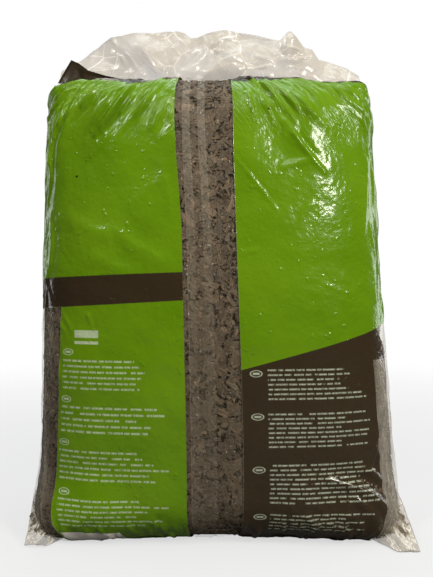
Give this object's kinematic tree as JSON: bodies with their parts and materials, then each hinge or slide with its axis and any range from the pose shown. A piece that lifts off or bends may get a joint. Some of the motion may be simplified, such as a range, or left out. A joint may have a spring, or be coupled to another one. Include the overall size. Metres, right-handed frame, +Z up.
{
  "type": "bag of wood chips",
  "caption": "Upright pillow bag of green and brown printed polythene film with a lap seam, clear strips and loose sealed ends, filled with brown wood chips.",
  "frame": {"origin": "on the floor, under the middle of the bag's bounding box", "axes": "+Z up, +X to the right seen from the side with the lap seam, -Y out of that side"},
  "size_m": [0.5232, 0.2412, 0.7324],
  "materials": {
    "printed_film": "glossy",
    "dyed_wood": "matte"
  },
  "bodies": {
    "root": {"bag_film": "printed_film", "wood_chips": "dyed_wood"}
  },
  "joints": []
}
